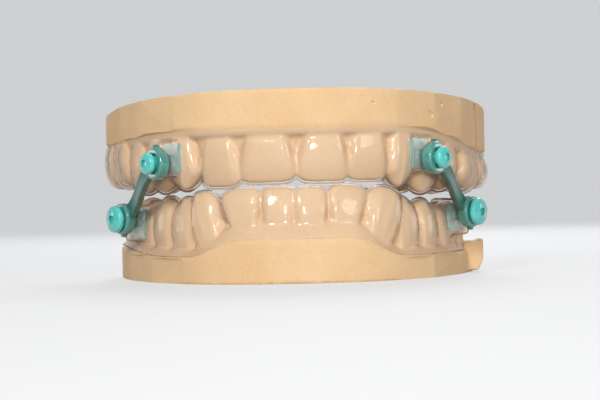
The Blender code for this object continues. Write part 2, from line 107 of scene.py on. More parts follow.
def applyModifier(piece, kind, **values):
    takeUp(piece)
    modifier = piece.modifiers.new(kind.lower(), kind)
    for key, value in values.items():
        setattr(modifier, key, value)
    bpy.ops.object.modifier_apply(modifier=modifier.name)


def remesh(piece, voxel, rounds):
    # one skin over all that overlaps, smoothed a few times
    applyModifier(piece, "REMESH", mode="VOXEL", voxel_size=voxel * mm)
    applyModifier(piece, "SMOOTH", factor=0.5, iterations=rounds)


def takeAway(piece, cutter):
    applyModifier(piece, "BOOLEAN", operation="DIFFERENCE", object=cutter, solver="MANIFOLD")


def settle(piece):
    # puts the piece's place, turn and scale into its mesh
    takeUp(piece)
    bpy.ops.object.transform_apply(location=True, rotation=True, scale=True)


def placeAt(piece, matrix):
    piece.matrix_world = matrix
    settle(piece)


def addStart(operator, **values):
    # a primitive with its size and place in its mesh
    selectNothing()
    operator(**values)
    started = bpy.context.object
    settle(started)
    return started


def openCube():
    # a cube of side 1 about the origin, open with all of it selected
    cube = addStart(bpy.ops.mesh.primitive_cube_add, size=1.0, location=origin)
    openEdit(cube)
    pickAll()
    return cube


def joinPieces(pieces, name):
    takeUp(*pieces)
    bpy.ops.object.join()
    joined = bpy.context.object
    joined.name = name
    joined.data.name = name
    return joined


def copyPiece(piece, name):
    copied = piece.copy()
    copied.data = piece.data.copy()
    copied.name = name
    copied.data.name = name
    bpy.context.scene.collection.objects.link(copied)
    return copied


def faceOutwards(piece):
    openEdit(piece)
    pickAll()
    bpy.ops.mesh.normals_make_consistent(inside=False)
    closeEdit()


def smoothUnder(piece, degrees):
    takeUp(piece)
    bpy.ops.object.shade_smooth_by_angle(angle=radians(degrees))


def removePiece(piece):
    bpy.data.objects.remove(piece)


def fromMm(values):
    return [value * mm for value in values]


def blended(share, start, end):
    # from 0 to 1 between start and end, easing in and out
    share = min(max((share - start) / (end - start), 0.0), 1.0)
    return share * share * (3.0 - 2.0 * share)


# camera and light

print("camera and light")
view = {
    "place": (0.0006, -0.3204, 0.0133),
    "lookAt": (0.0006, 0.0, 0.0133),
    "roll": -1.25,
    "lens": 112.5,
    "sensor": 36.0,
    "near": 0.01,
    "far": 20.0,
}


def lookingAt(place, target):
    return (Vector(target) - Vector(place)).to_track_quat("-Z", "Y")


camera = bpy.data.objects.new("camera", bpy.data.cameras.new("camera"))
bpy.context.scene.collection.objects.link(camera)
camera.data.lens = view["lens"]
camera.data.sensor_width = view["sensor"]
camera.data.clip_start = view["near"]
camera.data.clip_end = view["far"]
camera.location = view["place"]
aim = lookingAt(view["place"], view["lookAt"]).to_matrix().to_4x4()
camera.rotation_euler = (aim @ Matrix.Rotation(radians(view["roll"]), 4, "Z")).to_euler()
bpy.context.scene.camera = camera
bpy.context.scene.view_settings.view_transform = "Standard"

lampTarget = (0.0, 0.0, 0.015)
lamps = {
    "key": {"place": (-0.14, -0.46, 0.24), "size": 0.12, "power": 1.45, "colour": (1.0, 0.98, 0.95)},
    "fill": {"place": (0.28, -0.36, 0.10), "size": 0.16, "power": 0.44, "colour": (0.98, 0.99, 1.0)},
    "front": {"place": (0.03, -0.52, 0.08), "size": 0.035, "power": 0.62, "colour": (1.0, 0.99, 0.97)},
    "leftSide": {"place": (-0.45, 0.11, 0.05), "size": 0.16, "power": 0.20, "colour": white},
    "rightSide": {"place": (0.45, 0.11, 0.05), "size": 0.16, "power": 0.20, "colour": white},
    "rear": {"place": (0.05, 0.36, 0.30), "size": 0.30, "power": 1.1, "colour": white},
}
for lampName, lamp in lamps.items():
    light = bpy.data.objects.new(lampName, bpy.data.lights.new(lampName, "AREA"))
    bpy.context.scene.collection.objects.link(light)
    light.location = lamp["place"]
    light.data.shape = "DISK"
    light.data.size = lamp["size"]
    light.data.energy = lamp["power"]
    light.data.color = lamp["colour"]
    light.rotation_euler = lookingAt(lamp["place"], lampTarget).to_euler()

sky = {"colour": (0.92, 0.95, 1.0), "strength": 0.35}
world = bpy.data.worlds.new("studio")
bpy.context.scene.world = world
world.use_nodes = True
background = world.node_tree.nodes["Background"].inputs
background["Color"].default_value = (*sky["colour"], 1.0)
background["Strength"].default_value = sky["strength"]


# materials

def newMaterial(name):
    material = bpy.data.materials.new(name)
    material.use_nodes = True
    nodes = material.node_tree.nodes
    return material, nodes, material.node_tree.links, nodes["Principled BSDF"]


def setSockets(node, values):
    for socket, value in values.items():
        node.inputs[socket].default_value = value


def noise(nodes, links, coords, scale, detail=3.0, roughness=0.55):
    made = nodes.new("ShaderNodeTexNoise")
    setSockets(made, {"Scale": scale, "Detail": detail, "Roughness": roughness})
    links.new(coords, made.inputs["Vector"])
    return made.outputs["Fac"]


def ramp(nodes, links, value, stops):
    made = nodes.new("ShaderNodeValToRGB")
    for element, (place, colour) in zip(made.color_ramp.elements, stops):
        element.position = place
        element.color = (*colour, 1.0)
    links.new(value, made.inputs["Fac"])
    return made.outputs["Color"]


def multiply(nodes, links, share, colour, shade):
    # a colour darkened by a shade, by a share of its full strength
    made = nodes.new("ShaderNodeMix")
    made.data_type = "RGBA"
    made.blend_type = "MULTIPLY"
    factor, first, second = (
        next(one for one in made.inputs if one.name == name and one.enabled) for name in ("Factor", "A", "B")
    )
    factor.default_value = share
    links.new(colour, first)
    links.new(shade, second)
    return next(one for one in made.outputs if one.enabled)


def bump(nodes, links, height, strength, distance, under=None):
    made = nodes.new("ShaderNodeBump")
    setSockets(made, {"Strength": strength, "Distance": distance})
    links.new(height, made.inputs["Height"])
    if under:
        links.new(under, made.inputs["Normal"])
    return made.outputs["Normal"]


def anyRay(nodes, links, *kinds):
    # 1 for the kinds of light ray named, 0 for all others
    path = nodes.new("ShaderNodeLightPath")
    result = path.outputs[kinds[0]]
    for kind in kinds[1:]:
        either = nodes.new("ShaderNodeMath")
        either.operation = "MAXIMUM"
        links.new(result, either.inputs[0])
        links.new(path.outputs[kind], either.inputs[1])
        result = either.outputs["Value"]
    return result


def makeStoneMaterial():
    # cast stone: beige with a little mottling, fine grain and a few pores
    look = {
        "pale": (0.80, 0.545, 0.30), "deep": (0.74, 0.485, 0.25), "mottleScale": 90.0, "roughness": 0.62,
        "speck": (0.90, 0.88, 0.86), "speckScale": 1800.0, "speckShare": 0.5,
        "pore": (0.72, 0.66, 0.60), "poreScale": 420.0, "poreShare": 0.35,
        "grainScale": 5200.0, "bumpStrength": 0.25, "speckDepth": 0.00012, "grainDepth": 0.00004,
        "soft": 0.05, "softReach": (1.0, 0.6, 0.35), "softScale": 0.0006,
    }
    material, nodes, links, shader = newMaterial("beigeStone")
    coords = nodes.new("ShaderNodeTexCoord").outputs["Object"]
    broad = noise(nodes, links, coords, look["mottleScale"])
    fine = noise(nodes, links, coords, look["speckScale"], 4.0, 0.6)
    grain = noise(nodes, links, coords, look["grainScale"], 2.0, 0.6)
    colour = ramp(nodes, links, broad, [(0.30, look["deep"]), (0.62, look["pale"])])
    speckShade = ramp(nodes, links, fine, [(0.35, look["speck"]), (0.60, white)])
    colour = multiply(nodes, links, look["speckShare"], colour, speckShade)
    pores = nodes.new("ShaderNodeTexVoronoi")
    pores.inputs["Scale"].default_value = look["poreScale"]
    links.new(coords, pores.inputs["Vector"])
    poreShade = ramp(nodes, links, pores.outputs["Distance"], [(0.04, look["pore"]), (0.09, white)])
    colour = multiply(nodes, links, look["poreShare"], colour, poreShade)
    links.new(colour, shader.inputs["Base Color"])
    setSockets(shader, {
        "Roughness": look["roughness"], "Subsurface Weight": look["soft"],
        "Subsurface Radius": look["softReach"], "Subsurface Scale": look["softScale"],
    })
    specks = bump(nodes, links, fine, look["bumpStrength"], look["speckDepth"])
    grains = bump(nodes, links, grain, look["bumpStrength"], look["grainDepth"], specks)
    links.new(grains, shader.inputs["Normal"])
    return material


def makeSheetMaterial():
    # clear formed sheet: a thin gloss over the stone, which lamps and stray light pass straight through
    look = {
        "tint": (0.97, 0.965, 0.95), "ior": 1.04, "gloss": 0.28, "clear": 0.92,
        "roughness": (0.02, 0.06), "coatRoughness": (0.05, 0.22), "smearScale": 900.0,
        "waveScale": 320.0, "waveStrength": 0.45, "waveDepth": 0.0003,
        "through": (0.975, 0.98, 0.975), "inside": (0.75, 0.57, 0.42), "density": 540.0,
    }
    material, nodes, links, shader = newMaterial("clearSheet")
    setSockets(shader, {
        "Base Color": (*look["tint"], 1.0), "Transmission Weight": look["clear"],
        "IOR": look["ior"], "Coat Weight": look["gloss"],
    })
    coords = nodes.new("ShaderNodeTexCoord").outputs["Object"]
    wave = noise(nodes, links, coords, look["waveScale"], 2.0)
    smear = noise(nodes, links, coords, look["smearScale"])
    for socket, (low, high) in (("Roughness", look["roughness"]), ("Coat Roughness", look["coatRoughness"])):
        gloss = nodes.new("ShaderNodeMapRange")
        setSockets(gloss, {"From Min": 0.35, "From Max": 0.70, "To Min": low, "To Max": high})
        links.new(smear, gloss.inputs["Value"])
        links.new(gloss.outputs["Result"], shader.inputs[socket])
    skin = bump(nodes, links, wave, look["waveStrength"], look["waveDepth"])
    links.new(skin, shader.inputs["Normal"])
    links.new(skin, shader.inputs["Coat Normal"])
    through = nodes.new("ShaderNodeBsdfTransparent")
    through.inputs["Color"].default_value = (*look["through"], 1.0)
    mixed = nodes.new("ShaderNodeMixShader")
    links.new(anyRay(nodes, links, "Is Shadow Ray", "Is Diffuse Ray"), mixed.inputs["Fac"])
    links.new(shader.outputs["BSDF"], mixed.inputs[1])
    links.new(through.outputs["BSDF"], mixed.inputs[2])
    links.new(mixed.outputs["Shader"], nodes["Material Output"].inputs["Surface"])
    inside = nodes.new("ShaderNodeVolumeAbsorption")  # darkens the edges, where the view runs along the wall
    setSockets(inside, {"Color": (*look["inside"], 1.0), "Density": look["density"]})
    links.new(inside.outputs["Volume"], nodes["Material Output"].inputs["Volume"])
    return material


tealLooks = {
    "tealCollar": {"pale": (0.15, 0.52, 0.47), "deep": (0.08, 0.40, 0.36), "clear": 0.45, "roughness": 0.18,
                   "coat": 1.0, "coatRoughness": 0.06},
    "tealHead": {"pale": (0.13, 0.76, 0.71), "deep": (0.07, 0.62, 0.57), "clear": 0.15, "roughness": 0.12,
                 "coat": 1.0, "coatRoughness": 0.06},
    # the strap is painted a darker, duller teal than the collars of the same moulded piece: painted shade
    "shadedTealStrap": {"pale": (0.050, 0.215, 0.175), "deep": (0.030, 0.155, 0.125), "clear": 0.15,
                  "roughness": 0.30, "coat": 0.30, "coatRoughness": 0.16},
    "tealPlate": {"pale": (0.34, 0.62, 0.60), "deep": (0.20, 0.50, 0.48), "clear": 0.45, "roughness": 0.28,
                  "coat": 0.8, "coatRoughness": 0.30},
}
tealBody = {
    "ior": 1.45, "cloudScale": 420.0, "soft": 0.35, "softReach": (0.3, 1.0, 0.9), "softScale": 0.0010,
    "skinScale": 1500.0, "skinStrength": 0.2, "skinDepth": 0.00006,
}


def makeTealMaterial(name, look):
    # moulded translucent nylon: clouded inside, a slightly uneven skin
    material, nodes, links, shader = newMaterial(name)
    coords = nodes.new("ShaderNodeTexCoord").outputs["Object"]
    cloud = noise(nodes, links, coords, tealBody["cloudScale"])
    colour = ramp(nodes, links, cloud, [(0.30, look["deep"]), (0.68, look["pale"])])
    links.new(colour, shader.inputs["Base Color"])
    setSockets(shader, {
        "Roughness": look["roughness"], "Transmission Weight": look["clear"], "IOR": tealBody["ior"],
        "Subsurface Weight": tealBody["soft"], "Subsurface Radius": tealBody["softReach"],
        "Subsurface Scale": tealBody["softScale"],
        "Coat Weight": look["coat"], "Coat Roughness": look["coatRoughness"],
    })
    skin = noise(nodes, links, coords, tealBody["skinScale"])
    uneven = bump(nodes, links, skin, tealBody["skinStrength"], tealBody["skinDepth"])
    links.new(uneven, shader.inputs["Normal"])
    return material


beigeStone = makeStoneMaterial()
clearSheet = makeSheetMaterial()
teals = {name: makeTealMaterial(name, look) for name, look in tealLooks.items()}


def wear(piece, *materials):
    piece.data.materials.clear()
    for material in materials:
        piece.data.materials.append(material)


# the two rows of teeth, laid out straight along x and then bent round the arch, in mm: sign is the way the
# crowns point, reach how far each leg runs from the midline, and a gum step the rise between two distances

upperRow = {
    "sign": -1.0, "voxel": 0.29, "halfWidth": 34.2, "length": 60.0, "front": -20.435, "reach": 64.2,
    "shift": 0.0, "overhang": 1.2, "flare": 3.0 / 6.6, "swell": 0.5,
    "gumMiddle": 25.2, "gumSteps": {"left": ((-1.4, 16.0, 50.0),), "right": ((-4.0, 16.0, 50.0),)},
    "gumFront": 1.5, "gumSide": 1.5, "gumSlope": ((0.08, 0.45), (0.24, 0.80), (0.55, 1.0)),
    "facets": {"left": (26.0, 36.0, 47.0), "right": (22.0, 31.0, 41.0)},
    "teeth": [
        {"kind": "incisor", "width": 8.5, "depth": 6.8, "edge": 16.2, "papilla": 4.2},
        {"kind": "incisor", "width": 6.4, "depth": 6.0, "edge": 16.15, "papilla": 4.2},
        {"kind": "canine", "width": 7.6, "depth": 7.8, "edge": 15.4, "papilla": 3.8},
        {"kind": "premolar", "width": 6.8, "depth": 8.6, "edge": 14.9, "papilla": 3.0},
        {"kind": "premolar", "width": 6.6, "depth": 8.8, "edge": 14.8, "papilla": 2.7},
        {"kind": "molar", "width": 9.8, "depth": 10.4, "edge": 15.2, "papilla": 2.4},
        {"kind": "molar", "width": 9.0, "depth": 10.2, "edge": 15.6, "papilla": 2.0},
    ],
}
lowerRow = {
    "sign": 1.0, "voxel": 0.27, "halfWidth": 30.5, "length": 58.0, "front": -20.435, "reach": 61.8,
    "shift": 0.15, "overhang": 2.2, "flare": 3.0 / 5.6, "swell": 0.45,
    "gumMiddle": 6.8,
    "gumSteps": {"left": ((-2.6, 8.0, 18.0), (1.4, 24.0, 50.0)), "right": ((-3.1, 8.0, 18.0),)},
    "gumFront": 3.0, "gumSide": 1.4, "gumSlope": ((0.25, 0.40), (0.55, 0.75), (0.90, 1.0)),
    "facets": {"left": (24.0, 34.0), "right": (21.0, 31.0)},
    "teeth": [
        {"kind": "lowIncisor", "width": 5.2, "depth": 5.8, "edge": 15.3, "papilla": 4.0},
        {"kind": "lowIncisor", "width": 5.7, "depth": 6.0, "edge": 15.35, "papilla": 4.0},
        {"kind": "lowCanine", "width": 6.6, "depth": 7.3, "edge": 15.25, "papilla": 4.0},
        {"kind": "premolar", "width": 6.8, "depth": 7.5, "edge": 14.2, "papilla": 3.6},
        {"kind": "premolar", "width": 7.0, "depth": 8.0, "edge": 14.0, "papilla": 3.2},
        {"kind": "molar", "width": 10.8, "depth": 9.8, "edge": 14.0, "papilla": 2.8},
        {"kind": "molar", "width": 10.2, "depth": 9.6, "edge": 13.9, "papilla": 2.4},
    ],
}

# crowns, level by level from the neck: share of the width, cheek side in mm, tongue side as a share of the
# depth; then the plan's widths from cheek to tongue, and how far the edge's rows and columns rise in mm
crownShapes = {
    "incisor": {
        "levels": [(0.76, 0.20, 1.00), (0.84, -0.10, 0.97), (0.92, -0.36, 0.84), (0.98, -0.36, 0.64),
                   (1.02, -0.22, 0.47), (1.02, 0.10, 0.34), (0.96, 0.62, 0.26)],
        "plan": (0.76, 0.95, 1.0, 0.99, 0.97, 0.92, 0.80),
        "rows": (-0.12, 0.0, 0.0, -0.02, -0.08, -0.15, -0.30),
        "columns": (-0.45, -0.05, 0.0, -0.03, 0.0, -0.02, -0.20),
        "ridge": 0.0,
    },
    "lowIncisor": {
        "levels": [(0.90, 0.20, 1.00), (0.93, -0.10, 0.97), (0.97, -0.34, 0.84), (1.00, -0.36, 0.64),
                   (1.01, -0.24, 0.47), (1.01, 0.08, 0.34), (0.96, 0.60, 0.26)],
        "plan": (0.76, 0.95, 1.0, 0.99, 0.97, 0.92, 0.80),
        "rows": (-0.12, 0.0, 0.0, -0.02, -0.08, -0.15, -0.30),
        "columns": (-0.40, -0.05, 0.0, -0.02, 0.0, -0.03, -0.25),
        "ridge": 0.0,
    },
    "canine": {
        "levels": [(0.76, 0.10, 1.00), (0.84, -0.25, 0.98), (0.94, -0.55, 0.88), (1.00, -0.60, 0.70),
                   (1.02, -0.45, 0.54), (0.94, -0.05, 0.42), (0.66, 0.60, 0.32)],
        "plan": (0.62, 0.90, 1.0, 0.99, 0.97, 0.90, 0.78),
        "rows": (-0.20, 0.0, 0.0, -0.05, -0.15, -0.30, -0.50),
        "columns": (-1.30, -0.75, -0.25, 0.10, -0.20, -0.60, -1.00),
        "ridge": 0.30,
    },
    "lowCanine": {
        "levels": [(0.76, 0.10, 1.00), (0.84, -0.25, 0.98), (0.94, -0.50, 0.88), (1.00, -0.55, 0.70),
                   (1.02, -0.40, 0.54), (0.98, 0.0, 0.42), (0.84, 0.55, 0.32)],
        "plan": (0.66, 0.92, 1.0, 0.99, 0.97, 0.90, 0.78),
        "rows": (-0.15, 0.0, 0.0, -0.05, -0.15, -0.30, -0.50),
        "columns": (-0.70, -0.20, 0.0, 0.05, -0.05, -0.25, -0.70),
        "ridge": 0.25,
    },
    "premolar": {
        "levels": [(0.78, 0.20, 1.00), (0.86, -0.10, 1.02), (0.95, -0.38, 1.03), (1.01, -0.38, 1.00),
                   (1.02, -0.20, 0.94), (0.96, 0.20, 0.86), (0.76, 0.95, 0.74)],
        "plan": (0.64, 0.91, 1.0, 1.0, 0.98, 0.94, 0.80),
        "rows": (-0.30, 0.0, -0.55, -1.25, -0.90, -0.35, -0.70),
        "columns": (-0.90, -0.50, -0.15, 0.05, -0.15, -0.50, -0.90),
        "ridge": 0.22,
    },
    "molar": {
        "levels": [(0.82, 0.25, 1.00), (0.90, -0.05, 1.02), (0.97, -0.35, 1.03), (1.01, -0.36, 1.00),
                   (1.02, -0.18, 0.95), (0.98, 0.20, 0.89), (0.84, 0.90, 0.80)],
        "plan": (0.72, 0.94, 1.0, 1.0, 1.0, 0.98, 0.88),
        "rows": (-0.30, 0.0, -0.60, -1.15, -0.80, -0.20, -0.55),
        "columns": (-0.70, -0.10, -0.20, -0.75, -0.20, -0.05, -0.60),
        "ridge": -0.28,
    },
}

# small departures of single teeth: along, outwards, height in mm, turn in degrees, width share
wander = {
    "upper": {
        "left": [(0.40, 0.05, 0.0, 1.5, 1.10), (1.10, -0.10, 0.5, 4.0, 1.12), (1.40, 0.10, 0.0, -3.0, 0.95),
                 (1.20, 0.0, 0.0, 2.0, 1.0), (0.9, 0.05, 0.0, 0.0, 1.0), (0.5, 0.5, -0.7, 0.0, 1.0),
                 (0.2, 0.6, -0.4, 0.0, 1.0)],
        "right": [(0.25, 0.0, 0.0, -1.0, 1.0), (0.25, 0.10, -0.1, -3.0, 1.10), (0.0, 0.1, 0.3, 4.0, 0.90),
                  (0.0, 0.05, 1.1, -2.0, 1.0), (0.0, 0.0, 0.6, 1.0, 1.0), (0.0, 0.6, 1.1, 0.0, 0.96),
                  (0.0, 0.8, 0.9, 0.0, 0.96)],
    },
    "lower": {
        "left": [(0.05, -0.10, 0.1, -2.0, 1.03), (-0.10, 0.10, 0.0, 0.0, 0.84), (0.3, 0.30, 0.0, -3.0, 1.10),
                 (0.5, 0.2, 0.0, 3.0, 1.0), (0.3, 0.1, 0.4, 0.0, 1.0), (0.1, 0.0, 0.0, 0.0, 1.0),
                 (0.0, 0.0, 0.0, 0.0, 1.0)],
        "right": [(0.0, 0.05, 0.0, 2.0, 1.06), (-0.15, -0.05, 0.2, -2.0, 0.82),
                  (-0.5, 0.35, -0.4, -2.0, 1.08), (0.0, 0.15, -0.6, -2.0, 1.0), (0.0, 0.0, -0.8, 0.0, 0.96),
                  (0.0, 0.0, -1.6, 0.0, 1.0), (0.0, 0.0, -1.3, 0.0, 1.0)],
    },
}

archPower = 2.0 / 2.3  # of a superellipse with the exponent 2.3
archSteps = 240
curveSteps = 150


def archLine(row):
    # the cheek-side line from the midline to the back of the right leg
    half = []
    for step in range(archSteps + 1):
        angle = 0.5 * pi * (step / archSteps) ** 1.5  # closer steps at the front
        half.append(Vector((
            row["halfWidth"] * sin(angle) ** archPower,
            row["front"] + row["length"] * (1.0 - max(cos(angle), 0.0) ** archPower),
        )))
    return half


def gumRise(row, along):
    # height of the gum line at a distance from the midline, negative on the left
    level = row["gumMiddle"]
    for rise, start, end in row["gumSteps"]["right" if along > 0.0 else "left"]:
        level += rise * blended(abs(along), start, end)
    return level


def rowCurve(row, name):
    # the arch with the gum line's heights, from the back of the left leg to the back of the right one
    half = archLine(row)
    reach = [0.0]
    for first, second in zip(half, half[1:]):
        reach.append(reach[-1] + (second - first).length)
    points = []
    for step in range(curveSteps + 1):
        station = row["reach"] * step / curveSteps
        beyond = (index for index, value in enumerate(reach) if value >= station)
        index = max(next(beyond, len(reach) - 1), 1)
        share = (station - reach[index - 1]) / (reach[index] - reach[index - 1])
        spot = half[index - 1].lerp(half[index], share)
        points.append((spot.x, spot.y, station))
    whole = [(-x, y, gumRise(row, -along)) for x, y, along in reversed(points[1:])]
    whole += [(x, y, gumRise(row, along)) for x, y, along in points]
    curve = bpy.data.curves.new(name, "CURVE")
    curve.dimensions = "3D"
    curve.twist_mode = "Z_UP"
    curve.resolution_u = 1
    spline = curve.splines.new("POLY")
    spline.points.add(len(whole) - 1)
    for point, spot in zip(spline.points, whole):
        point.co = (*fromMm(spot), 1.0)
    made = bpy.data.objects.new(name, curve)
    bpy.context.scene.collection.objects.link(made)
    return made


def bendRound(piece, curve):
    applyModifier(piece, "CURVE", object=curve, deform_axis="POS_X")


crownCells = 6
neckSwell = 0.6  # the neck's share of the swell
underEdge = 0.45  # the share of the columns' rise that the level under the edge takes


def modelCrown(tooth, height, swell):
    # a block of six cells each way, each layer, row and column moved to the crown's form
    shape = crownShapes[tooth["kind"]]
    crown = openCube()
    bpy.ops.mesh.subdivide(number_cuts=crownCells - 1)
    work = bmesh.from_edit_mesh(crown.data)
    work.verts.index_update()
    cell = {vert.index: tuple(round((value + 0.5) * crownCells) for value in vert.co) for vert in work.verts}
    moveBy(0.0, 0.5, 0.5)
    sizeBy(tooth["width"] * mm, tooth["depth"] * mm, height * mm)
    for level, (width, cheek, tongue) in enumerate(shape["levels"]):
        cheek -= swell if level else neckSwell * swell
        pick("verts", lambda vert: cell[vert.index][2] == level)
        sizeBy(width, tongue - cheek / tooth["depth"], 1.0)
        moveBy(0.0, cheek * mm, 0.0)
    for across, width in enumerate(shape["plan"]):
        pick("verts", lambda vert: cell[vert.index][1] == across)
        sizeBy(width, 1.0, 1.0)
    for across, drop in enumerate(shape["rows"]):
        pick("verts", lambda vert: cell[vert.index][1:] == (across, crownCells))
        moveBy(0.0, 0.0, drop * mm)
    for column, drop in enumerate(shape["columns"]):
        for level, share in ((crownCells, 1.0), (crownCells - 1, underEdge)):
            pick("verts", lambda vert: cell[vert.index][0] == column and cell[vert.index][2] == level)
            moveBy(0.0, 0.0, share * drop * mm)
    if shape["ridge"]:  # down the middle of the cheek side
        pick("verts", lambda vert: cell[vert.index][:2] == (crownCells // 2, 0) and cell[vert.index][2] > 1)
        moveBy(0.0, -shape["ridge"] * mm, 0.0)
    closeEdit()
    applyModifier(crown, "SUBSURF", levels=2, render_levels=2)
    return crown


papillaSizes = {"foot": 1.6, "tip": 0.2, "sunk": 1.0, "flat": 0.75, "edge": 0.15, "inwards": 0.6, "up": 0.3}


def modelPapilla(height, along):
    # the point of gum between two necks, at a place along the straight row
    sizes = papillaSizes
    papilla = addStart(bpy.ops.mesh.primitive_cone_add, vertices=16, radius1=sizes["foot"] * mm,
                       radius2=sizes["tip"] * mm, depth=(height + sizes["sunk"]) * mm,
                       location=(0.0, 0.0, 0.5 * (height - sizes["sunk"]) * mm))
    openEdit(papilla)
    pickAll()
    sizeBy(1.0, sizes["flat"], 1.0)
    bpy.ops.mesh.bevel(offset=sizes["edge"] * mm, segments=2)
    closeEdit()
    papilla.location = (along * mm, sizes["inwards"] * mm, sizes["up"] * mm)
    settle(papilla)
    return papilla


def depthAt(row, along):
    # depth of the teeth at a distance from the midline, passing from one middle to the next
    starts = [0.0]
    for tooth in row["teeth"]:
        starts.append(starts[-1] + tooth["width"])
    middles = [0.5 * (first + second) for first, second in zip(starts, starts[1:])]
    depths = [tooth["depth"] for tooth in row["teeth"]]
    along = min(max(abs(along), middles[0]), middles[-1])
    for index in range(len(middles) - 1):
        if along <= middles[index + 1]:
            share = (along - middles[index]) / (middles[index + 1] - middles[index])
            return depths[index] * (1.0 - share) + depths[index + 1] * share
    return depths[-1]


# base and gum in mm: ledges and slopes ease in between two distances from the midline
baseSizes = {
    "height": 12.0, "steps": 124, "gumEase": (8.0, 18.0),
    "ledge": 0.10, "sideLedge": 0.5, "ledgeEase": (14.0, 26.0), "ledgeUp": 0.05, "slopeEnd": 0.1,
    "edge": ((0.0, -0.2), (0.04, -0.04)), "crest": (0.8, 0.45),
    "tongueSide": ((-0.5, 1.4), (0.45, 0.6), (0.75, 0.0)),
}


def baseSection(row, along):
    # outline of base and gum across the row: up the cheek side and down the tongue side, in mm
    sizes = baseSizes
    height = sizes["height"]
    gum = row["gumFront"] + (row["gumSide"] - row["gumFront"]) * blended(abs(along), *sizes["gumEase"])
    start = sizes["ledge"] + sizes["sideLedge"] * blended(abs(along), *sizes["ledgeEase"]) - row["overhang"]
    slope = sizes["slopeEnd"] - start
    outline = [(-row["overhang"], -height)]
    outline += [(out - row["overhang"], up) for out, up in sizes["edge"]]
    outline += [(start, sizes["ledgeUp"])]
    outline += [(start + out * slope, up * gum) for out, up in row["gumSlope"]]
    outline += [(sizes["crest"][0], gum + sizes["crest"][1])]
    depth = depthAt(row, along)
    outline += [(depth + out, up) for out, up in sizes["tongueSide"]]
    outline += [(outline[-1][0] + row["flare"] * height, -height)]
    return outline


def modelBase(row, name):
    # base and gum: one outline drawn out along the row and set to the section at each step
    section = baseSection(row, row["reach"])
    base = addStart(bpy.ops.mesh.primitive_circle_add, vertices=len(section), fill_type="NGON", radius=mm,
                    location=origin)
    base.name = name
    openEdit(base)
    work = bmesh.from_edit_mesh(base.data)
    work.verts.ensure_lookup_table()
    for index, (y, z) in enumerate(section):
        work.verts[index].co = (0.0, y * mm, z * mm)
    bmesh.update_edit_mesh(base.data)
    pickAll()

    def distance(index):
        y, z = before[index]
        return (y * mm - vert.co.y) ** 2 + (z * mm - vert.co.z) ** 2

    stride = 2.0 * row["reach"] / baseSizes["steps"]
    for step in range(baseSizes["steps"]):
        drawOut(stride * mm, 0.0, 0.0)
        before, section = section, baseSection(row, row["reach"] - stride * (step + 1))
        work = bmesh.from_edit_mesh(base.data)
        for vert in work.verts:
            if vert.select:
                y, z = section[min(range(len(before)), key=distance)]
                vert.co.y, vert.co.z = y * mm, z * mm
        bmesh.update_edit_mesh(base.data)
    closeEdit()
    faceOutwards(base)
    return base


def cutFlat(piece, point, normal):
    # trims the piece on a plane and closes the cut
    openEdit(piece)
    pickAll()
    bpy.ops.mesh.bisect(plane_co=point, plane_no=normal, use_fill=True, clear_outer=True)
    closeEdit()


facetBlock = {"size": (10.0, 15.0, 14.0), "bite": 0.4, "below": 7.1}


def trimFacets(stone, row):
    # flats that the trimmer left down the sides of the base, each cut with a turned block
    half = archLine(row)
    for side, factor in sides:
        for station in row["facets"][side]:
            reach = 0.0
            for first, second in zip(half, half[1:]):
                reach += (second - first).length
                if reach >= station:
                    break
            way = (second - first).normalized()
            normal = Vector((way.y, -way.x))
            point = second + normal * (row["overhang"] - facetBlock["bite"] + 0.5 * facetBlock["size"][0])
            level = gumRise(row, factor * station) - row["sign"] * facetBlock["below"]
            turn = Vector((factor * normal.x, normal.y)).angle_signed(Vector((1.0, 0.0)))
            block = addStart(bpy.ops.mesh.primitive_cube_add, size=1.0, rotation=(0.0, 0.0, turn),
                             location=fromMm((factor * point.x, point.y, level)),
                             scale=fromMm(facetBlock["size"]))
            takeAway(stone, block)
            removePiece(block)


# marks on the stone as seen from the front: from x and z to x and z, the bead's radius in mm and how deep it
# sits, as a share of its radius
stoneMarks = {
    "upper": [(12.6, 28.7, 13.1, 28.5, 0.35, -0.45), (15.5, 28.8, 15.8, 28.2, 0.30, -0.45),
              (31.5, 28.8, 31.8, 21.0, 0.85, 0.35), (22.4, 27.2, 23.0, 26.4, 0.55, -0.45),
              (24.2, 28.9, 25.0, 28.6, 0.50, -0.45)],
    "lower": [(7.0, 12.8, 7.2, 12.7, 0.32, -0.45), (8.5, 12.8, 8.6, 12.8, 0.28, -0.45),
              (9.9, 12.1, 10.0, 12.0, 0.26, -0.45)],
}
beadStep = 0.7  # from bead to bead, as a share of the radius
beadVoxel = 0.08


def carve(stone, marks):
    # pits and grooves: beads laid along the surface that faces the viewer and taken out of it
    tree = BVHTree.FromObject(stone, bpy.context.evaluated_depsgraph_get())
    beads = []
    for fromX, fromZ, toX, toZ, radius, sink in marks:
        count = max(int(Vector((toX - fromX, toZ - fromZ)).length / (beadStep * radius)), 1)
        for step in range(count):
            x = fromX + (toX - fromX) * step / count
            z = fromZ + (toZ - fromZ) * step / count
            spot, normal = tree.ray_cast(Vector((x * mm, -0.1, z * mm)), Vector((0.0, 1.0, 0.0)))[:2]
            if spot is not None:
                beads.append(addStart(bpy.ops.mesh.primitive_ico_sphere_add, subdivisions=2,
                                      radius=radius * mm, location=spot - normal * sink * radius * mm))
    cutter = joinPieces(beads, "beads")
    applyModifier(cutter, "REMESH", mode="VOXEL", voxel_size=beadVoxel * mm)
    takeAway(stone, cutter)
    removePiece(cutter)


